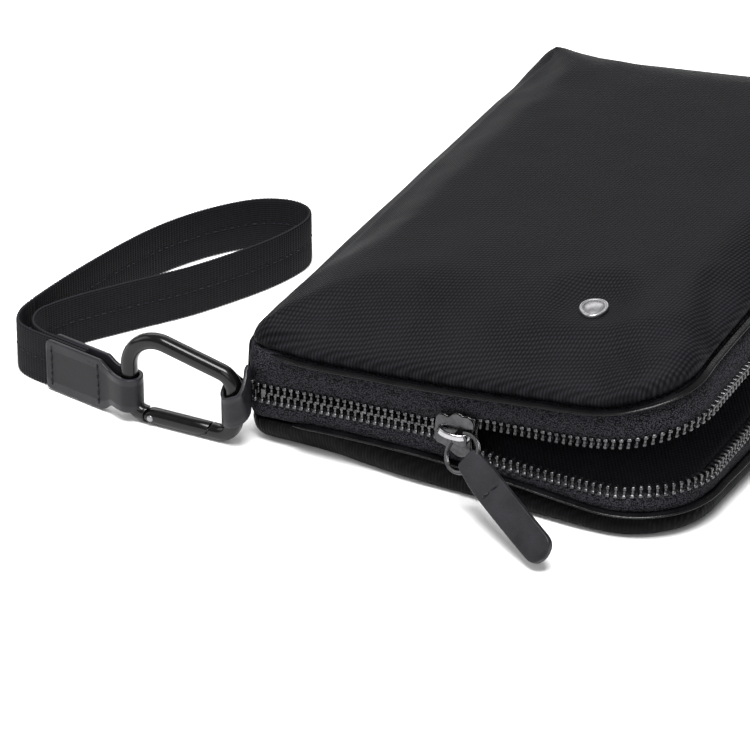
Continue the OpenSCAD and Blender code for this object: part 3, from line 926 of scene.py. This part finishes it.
def pull_pieces(start):
    """The leather pull: a narrow eye end, a round tip, a light twist and slanted stitches."""
    length, wide, thick = 48.0, 10.4, 2.3
    rings = []
    count = 46
    for k in range(count + 1):
        u = k / count
        x = -4.6 + (length + 0.0) * u
        tip = max(0.0, (u - 0.885) / 0.115)
        neck = ease((x + 4.6) / 13.0)
        half = (wide / 2) * (0.80 + 0.20 * neck) * math.sqrt(max(1 - tip ** 2.6, 0.02))
        if u < 0.05:
            half *= 0.80 + 0.20 * math.sqrt(u / 0.05)
        twist = math.radians(7 * (u - 0.4))
        sag = 1.1 * math.sin(math.pi * u) - 0.5
        fat = (thick / 2) * (1.12 - 0.12 * ease(u * 8)) * (0.75 if tip > 0.97 else 1.0)
        ring = []
        for a, b in box_section(2 * half, 2 * fat, min(0.55, half * 0.9), 3):
            crown = 0.16 * (1 - (a / max(half, 0.1)) ** 2) * (1 if b > 0 else -1)
            y = a * math.cos(twist) - (b + crown) * math.sin(twist)
            z = a * math.sin(twist) + (b + crown) * math.cos(twist)
            ring.append(Vector((x, y, z + sag)))
        rings.append(ring)
    place = Matrix.Translation(start) @ PULL_TURN

    def which(i):
        face = i % (len(rings[0]))
        side = face % 4
        return 1 if (i < count * len(rings[0]) and side == 3 and (face // 4) % 2 == 1) else 0

    # The pull's two narrow sides take the lighter edge leather, a painted highlight.
    obj = piece("pull_leather", *moved(loft(rings), place), [PULL_LEATHER, LEATHER_EDGE_LIT], "pull", "leather",
                ["pull_tab"], faces_of=which)
    finer(obj)
    parts = []
    for side in (1, -1):
        for k in range(2):
            mid = Vector((12.2 + 0.5 * k, -2.5 + 3.9 * k + 0.4, side * 1.16 + 0.55))
            path = []
            for j in range(7):
                t = j / 6
                lift = side * 0.34 * (math.sin(math.pi * t) - 0.4)
                path.append(mid + Vector((0.5 * (t - 0.5), 2.7 * (t - 0.5), lift)))
            parts.append(moved(swept(path, round_section(0.36, 0.3, 8)), place))
    piece("pull_stitches", *joined(parts), THREAD, "pull", "thread", ["pull_tab_stitching"])


# ---------------------------------------------------------------- badge
def badge_piece():
    """A plain domed oval badge with a raised rim."""
    low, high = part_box("badge")
    middle = (low + high) / 2 / MM
    base = low.z / MM
    turn = Matrix.Translation((middle.x, middle.y, base + 0.2))
    turn = turn @ Matrix.Rotation(math.radians(-GAPE_DEG), 4, "Y")
    turn = turn @ Matrix.Rotation(math.radians(20), 4, "Z")
    rings = []
    profile = [(1.0, -1.6), (1.02, 0.4), (1.0, 0.95), (0.95, 1.15), (0.88, 1.1), (0.84, 0.85), (0.80, 0.9),
               (0.62, 1.45), (0.4, 1.78), (0.2, 1.92), (0.06, 1.96)]
    for k, z in profile:
        ring = []
        for j in range(48):
            a = 2 * math.pi * j / 48
            egg = 1 + 0.10 * math.sin(a)
            ring.append(Vector((4.7 * k * math.cos(a) * egg, 6.1 * k * math.sin(a), z)))
        rings.append(ring)
    finer(piece("oval_badge", *moved(loft(rings), turn), BADGE, "cover", "badge_metal", ["badge"]))


# ---------------------------------------------------------------- carabiner
CARABINER_Y = -120.0
BAR_R = 2.75
BIG_R = 11.0
SMALL_R = 6.2
WIDE_TOP = Vector((-105.2, 19.8))
NARROW_TOP = Vector((-83.7, 19.4))
NARROW_LOW = Vector((-83.7, BAR_R + SMALL_R))
WIDE_LOW = Vector((-110.0, BAR_R + SMALL_R))
GATE_PIN_X = -107.6


def arc(middle, radius, start, end, count):
    turns = [math.radians(start + (end - start) * k / count) for k in range(count + 1)]
    return [(middle.x + radius * math.cos(a), middle.y + radius * math.sin(a)) for a in turns]


def bar_section(sides=24):
    """The bar's section: round, with slightly flattened faces."""
    points = []
    for k in range(sides):
        a = 2 * math.pi * (k + 0.5) / sides
        c, s = math.cos(a), math.sin(a)
        r = BAR_R * (abs(c) ** 2.5 + abs(s) ** 2.5) ** (-1 / 2.5) * 0.965
        points.append((r * c, r * s))
    return points


def latch_x(z):
    """Where the gate meets the nose at height z: a Z-shaped line."""
    return smooth_at([(0.0, -89.9), (1.5, -89.8), (2.2, -87.3), (3.8, -86.4), (5.5, -86.0)], z)


def hinge_end_x(z):
    """Where the frame ends round the gate's rounded heel at height z."""
    return GATE_PIN_X - math.sqrt(max(3.0 ** 2 - (z - BAR_R) ** 2, 0.6))


def carabiner_pieces():
    apart = NARROW_TOP - WIDE_TOP
    turn = math.degrees(math.acos((BIG_R - SMALL_R) / apart.length))
    turn -= math.degrees(math.atan2(-apart.y, apart.x))
    line = [(-89.0, BAR_R), (-87.0, BAR_R), (-85.0, BAR_R)]
    line += arc(NARROW_LOW, SMALL_R, 270, 360, 12)
    line += [(NARROW_LOW.x + SMALL_R, z) for z in (12.0, 15.6)]
    line += arc(NARROW_TOP, SMALL_R, 360, 360 + turn, 11)
    line += arc(WIDE_TOP, BIG_R, 360 + turn, 540, 22)
    line += [(WIDE_TOP.x - BIG_R, z) for z in (16.0, 12.5)]
    line += arc(WIDE_LOW, SMALL_R, 540, 630, 12)
    path = [Vector((x, CARABINER_Y, z)) for x, z in line]
    section = bar_section()
    verts, faces = swept(path, section, ups=[(0, -1, 0)] * len(path))
    count = len(section)
    for k in range(count):
        verts[k].x = latch_x(verts[k].z) + 0.22
        verts[k + count].x = max(verts[k + count].x, verts[k].x + 0.5)
        last = len(verts) - count + k
        verts[last].x = hinge_end_x(verts[last].z)
        for ring in (1, 2):
            near = verts[last - ring * count]
            near.x = min(near.x, verts[last].x - 0.35 * ring)
    frame_obj = piece("carabiner_body", verts, faces, BLACK_METAL, "carabiner", "black_metal",
                      ["carabiner_frame"])
    creased(frame_obj, 0.18)

    places = (-110.2, -109.6, -108.8, -107.6, -105, -101, -97, -93, -91.0)
    path = [Vector((x, CARABINER_Y, BAR_R)) for x in places]
    verts, faces = swept(path, section, ups=[(0, -1, 0)] * len(path))
    heel = (0.28, 0.66, 0.88, 0.985)
    for r, k in enumerate(heel):
        for v in verts[r * count:(r + 1) * count]:
            v.z = BAR_R + (v.z - BAR_R) * k
            v.y = CARABINER_Y + (v.y - CARABINER_Y) * min(1.0, 0.8 + 0.25 * r)
    for v in verts[-count:]:
        v.x = latch_x(v.z) - 0.22
    for v in verts[-2 * count:-count]:
        v.x = min(v.x, latch_x(v.z) - 0.9)
    creased(piece("carabiner_gate", verts, faces, BLACK_METAL, "gate", "black_metal", ["gate"]), 0.18)

    rings = []
    for y, r in ((-2.98, 0.15), (-2.96, 0.6), (-2.86, 0.95), (-2.68, 1.12), (-2.4, 1.14), (2.4, 1.14),
                 (2.68, 1.12),
                 (2.86, 0.95), (2.96, 0.6), (2.98, 0.15)):
        rings.append([Vector((GATE_PIN_X + r * math.cos(2 * math.pi * k / 20), CARABINER_Y + y,
                              BAR_R + r * math.sin(2 * math.pi * k / 20))) for k in range(20)])
    piece("gate_rivet", *loft(rings), PIN, "carabiner", "pin_steel", ["gate_pin"])


# ---------------------------------------------------------------- leather strips and webbing
EDGE_STEPS = 3


def strip(name, path, heights, thick, materials, body, slot, replaced, corner=0.4):
    """A flat strip standing on its edge along a path; its two long edges take the second material."""
    rings = []
    last = len(path) - 1
    for i, p in enumerate(path):
        along = (Vector(path[min(i + 1, last)]) - Vector(path[max(i - 1, 0)])).normalized()
        side = along.cross(Vector((0, 0, 1))).normalized()
        up = side.cross(along)
        ring = [Vector(p) + side * a + up * b for a, b in box_section(thick, heights[i], corner, EDGE_STEPS)]
        rings.append(ring)
    count = len(rings[0])

    def edge(i):
        k = i % count
        on_top = k <= 2 * EDGE_STEPS
        below = 2 * EDGE_STEPS + 2 <= k <= 4 * EDGE_STEPS + 2
        return 1 if i < last * count and (on_top or below) and len(materials) > 1 else 0

    return piece(name, *loft(rings), materials, body, slot, replaced, faces_of=edge)


def through(points, step):
    """Places about step apart on a smooth line through points."""
    out = []
    last = len(points) - 1
    for i in range(last):
        p0, p1, p2, p3 = (Vector(points[min(max(k, 0), last)]) for k in (i - 1, i, i + 1, i + 2))
        count = max(1, round((p2 - p1).length / step))
        for j in range(count):
            t = j / count
            a = 2 * p1 + (p2 - p0) * t
            b = (2 * p0 - 5 * p1 + 4 * p2 - p3) * t * t
            c = (3 * p1 - p0 - 3 * p2 + p3) * t * t * t
            out.append((a + b + c) * 0.5)
    out.append(Vector(points[-1]))
    return out


def strap_loop_piece():
    """The pouch's leather loop: a strip from the spine's corner, round the carabiner's bar and back."""
    plan = [(-74.0, -112.6, 22.6), (-74.6, -114.6, 21.6), (-74.3, -117.0, 20.0), (-73.9, -119.2, 18.0)]
    for k in range(1, 12):
        a = math.radians(15 * k)
        x = -77.5 + 3.75 * math.cos(a)
        plan.append((x, CARABINER_Y - 3.75 * math.sin(a), 17.0 - 4.4 * math.sin(a * 0.62)))
    plan += [(-81.2, -119.0, 13.4), (-80.7, -116.6, 15.2), (-79.6, -114.2, 17.6), (-78.4, -112.0, 19.8)]
    path = through(plan, 1.1)
    heights = [11.6 - 1.0 * math.sin(math.pi * i / (len(path) - 1)) for i in range(len(path))]
    # The loop's long edges take the lighter edge leather, a painted highlight.
    finer(strip("loop_leather", path, heights, 1.45, [PULL_LEATHER, LEATHER_EDGE_LIT], "base", "leather",
                ["strap_loop"]))


STRAP_TURN = -11.6
STRAP_AT = (Matrix.Translation((WIDE_TOP.x - BIG_R, CARABINER_Y, 0))
            @ Matrix.Rotation(math.radians(STRAP_TURN), 4, "Z"))
STRAP_WEBBING = [
    (-18, -0.75), (-26, -0.75), (-34, -0.75), (-42, -0.8), (-48.5, 0.8), (-53, 6), (-55.5, 16),
    (-57.5, 44), (-57, 75), (-52.5, 97), (-44, 115), (-34.5, 123), (-25.5, 123.5), (-20, 117.5),
    (-19, 106), (-21.5, 89.5), (-28.5, 65.5), (-37.5, 45), (-45, 27.5), (-48.8, 14.5), (-48, 8),
    (-44, 3), (-38, 0.9), (-34, 0.75), (-26, 0.75), (-18, 0.75),
]
WEBBING_WIDE = 18.6
RIB = 1.2


def strap_end():
    """The leather end: one strip folded round the carabiner's bar and sewn over the webbing."""
    left, neck, r, face = -34.0, -8.6, 3.9, 2.3
    front = [(left, -face), (left + 0.7, -face), (left + 1.6, -face), (-28, -face), (-20, -face),
             (-13, -face), (neck - 1.6, -face), (neck, -face), (neck + 2, -face - 0.15),
             (neck + 4, -face - 0.7), (neck + 6, -face - 1.25)]
    turn = [(r * math.sin(math.radians(a)), -r * math.cos(math.radians(a))) for a in range(0, 181, 15)]
    plan = front + turn + [(x, -y) for x, y in reversed(front)]
    path, heights = [], []
    for x, y, _ in through([(x, y, 0) for x, y in plan], 1.0):
        narrow = ease((x - (neck - 2.2)) / 6.0)
        tall = 18.4 - 6.2 * narrow
        tip = min(max((x - left) / 1.8, 0.0), 1.0)
        tall -= 2 * 1.8 * (1 - math.sqrt(1 - (1 - tip) ** 2))
        path.append(STRAP_AT @ Vector((x, y, 9.6 + 0.3 * narrow)))
        heights.append(tall)
    # The end's long edges take the lighter edge leather, a painted highlight.
    finer(strip("strap_end_leather", path, heights, 1.45, [TAB_LEATHER, LEATHER_EDGE_LIT], "strap", "leather",
                ["strap_tab"]))
    parts = []
    for x in (-11.2, -31.4):
        for side in (1, -1):
            for k in range(5):
                z = 2.6 + 3.0 * k
                stitch = []
                for t in (0, 0.2, 0.4, 0.6, 0.8, 1):
                    out = side * (3.0 + 0.2 * (math.sin(math.pi * t) - 0.5))
                    stitch.append(STRAP_AT @ Vector((x + 0.12 * math.sin(7 * k + x), out, z + 2.3 * t)))
                parts.append(swept(stitch, round_section(0.42, 0.3, 8), ups=[(1, 0, 0)] * 6))
    piece("strap_end_stitches", *joined(parts), THREAD, "strap", "thread", ["strap_tab_stitching"])


def strap_band():
    """The ribbed webbing, standing on its edge in one long loop, with a seam along its middle."""
    line = through([(x, y, 0) for x, y in STRAP_WEBBING], RIB / 4)
    path, heights = [], []
    for i, p in enumerate(line):
        path.append(STRAP_AT @ Vector((p.x, p.y, 9.5)))
        heights.append(WEBBING_WIDE)
    rings = []
    last = len(path) - 1
    for i, p in enumerate(path):
        along = (path[min(i + 2, last)] - path[max(i - 2, 0)]).normalized()
        side = along.cross(Vector((0, 0, 1))).normalized()
        rib = math.sin(2 * math.pi * i / 4)
        half = 0.60 + 0.11 * rib
        tall = WEBBING_WIDE / 2 + 0.10 * rib
        section = [(half, -tall + 1), (half + 0.03, -tall / 2), (half, -0.5), (half - 0.12, 0), (half, 0.5),
                   (half + 0.03, tall / 2), (half, tall - 1), (half * 0.8, tall - 0.2), (0, tall + 0.1),
                   (-half * 0.8, tall - 0.2), (-half, tall - 1), (-half - 0.03, tall / 2), (-half, 0.5),
                   (-half + 0.12, 0), (-half, -0.5), (-half - 0.03, -tall / 2), (-half, -tall + 1),
                   (-half * 0.8, -tall + 0.2), (0, -tall - 0.1), (half * 0.8, -tall + 0.2)]
        rings.append([p + side * a + Vector((0, 0, b)) for a, b in section])
    piece("webbing_band", *loft(rings), WEBBING, "strap", "webbing", ["strap_webbing"])
    parts = []
    per = 10
    for start in range(40, last - 50, per):
        for side_of in (1, -1):
            stitch = []
            for j in range(6):
                i = start + j
                along = (path[i + 1] - path[i - 1]).normalized()
                side = along.cross(Vector((0, 0, 1))).normalized()
                lift = 0.62 + 0.10 * math.sin(math.pi * j / 5)
                stitch.append(path[i] + side * (side_of * lift))
            parts.append(swept(stitch, round_section(0.2, 0.16, 6)))
    piece("webbing_seam", *joined(parts), THREAD, "strap", "thread")


cover_pad()
base_pad()
lining("lining_upper", "cover", "top_lining", lambda x, y, lift: cover_plane(x) + 1.2 - lift)
lining("lining_lower", "base", "bottom_lining", lambda x, y, lift: 9.0 + lift)
piping("piping_upper", "cover", "top_piping", UPPER_PIPE_Z, UPPER_PIPE_OUT, 4.0, RUN - 4.0, 0.0)
piping("piping_lower", "base", "bottom_piping", LOWER_PIPE_Z, LOWER_PIPE_OUT, 11.0, RUN - 11.0, 0.0)
gusset("gusset_upper", "cover", "upper_zip_tape", UPPER_FOOT, UPPER_OUT, UPPER_PIPE_Z, UPPER_PIPE_OUT, 1, 0.9)
gusset("gusset_lower", "base", "lower_zip_tape", LOWER_FOOT, LOWER_OUT, LOWER_PIPE_Z, LOWER_PIPE_OUT, -1, 0.5)
spine_cloth()
tooth_row("teeth_lower", "base", "lower_teeth", LOWER_FOOT, LOWER_OUT, 1, 0.0, 7.0)
tooth_row("teeth_upper", "cover", "upper_teeth", UPPER_FOOT, UPPER_OUT, -1, 0.5, 7.0)
slider_pieces()
ring_piece()
pull_pieces(Vector((10.3, -125.93, 17.63)))
badge_piece()
carabiner_pieces()
strap_loop_piece()
strap_end()
strap_band()


# ---------------------------------------------------------------- materials of the CAD pieces that stay
def repaint(material, *names):
    for name in names:
        mesh = NODES[name].data
        mesh.materials.clear()
        mesh.materials.append(material)
        for face in mesh.polygons:
            face.material_index = 0


repaint(TEETH, "zip_bottom_stop", "lower_end_stops", "upper_end_stop")
repaint(PIN, "gate_spring", "badge_back_plate")


# ---------------------------------------------------------------- floor and light
def area_light(name, at, to, size, power, colour=(1, 1, 1), size_y=None):
    data = bpy.data.lights.new(name, "AREA")
    data.energy = power
    data.color = colour
    data.shape = "RECTANGLE"
    data.size = size
    data.size_y = size_y or size
    obj = bpy.data.objects.new(name, data)
    obj.location = at
    obj.rotation_euler = (Vector(to) - Vector(at)).to_track_quat("-Z", "Y").to_euler()
    bpy.context.scene.collection.objects.link(obj)
    return obj


floor_nodes = Nodes("pale_floor", Roughness=0.75, Specular_IOR_Level=0.15)
floor_grain = floor_nodes.grain(60, 2.0)
floor_tones = [(0.3, (0.88, 0.88, 0.88)), (0.7, (0.9, 0.9, 0.9))]
floor_nodes.finish(floor_nodes.ramp(floor_grain, floor_tones), None, [])
floor_mesh = bpy.data.meshes.new("floor")
FLOOR_HALF = 6
floor_corners = [(x * FLOOR_HALF, y * FLOOR_HALF, -0.0001) for x, y in ((-1, -1), (1, -1), (1, 1), (-1, 1))]
floor_mesh.from_pydata(floor_corners, [], [(0, 1, 2, 3)])
floor_mesh.materials.append(floor_nodes.material)
floor = bpy.data.objects.new("floor", floor_mesh)
bpy.context.scene.collection.objects.link(floor)

area_light("back_softbox", (-0.95, 1.75, 1.15), (-0.03, 0.0, 0.02), 1.9, 9, size_y=0.8)
area_light("overhead", (0.1, -0.45, 1.5), (-0.03, -0.05, 0.0), 0.9, 44, size_y=0.7)
area_light("left_fill", (-1.5, -0.5, 0.8), (-0.05, -0.05, 0.02), 1.0, 6)
area_light("front_fill", (0.4, -1.9, 1.2), (0.0, 0.0, 0.02), 1.0, 8)
world = bpy.data.worlds.new("room")
world.use_nodes = True
world.node_tree.nodes["Background"].inputs["Color"].default_value = (1.0, 1.0, 1.0, 1.0)
world.node_tree.nodes["Background"].inputs["Strength"].default_value = 0.42
bpy.context.scene.world = world
bpy.context.scene.view_settings.view_transform = "Standard"
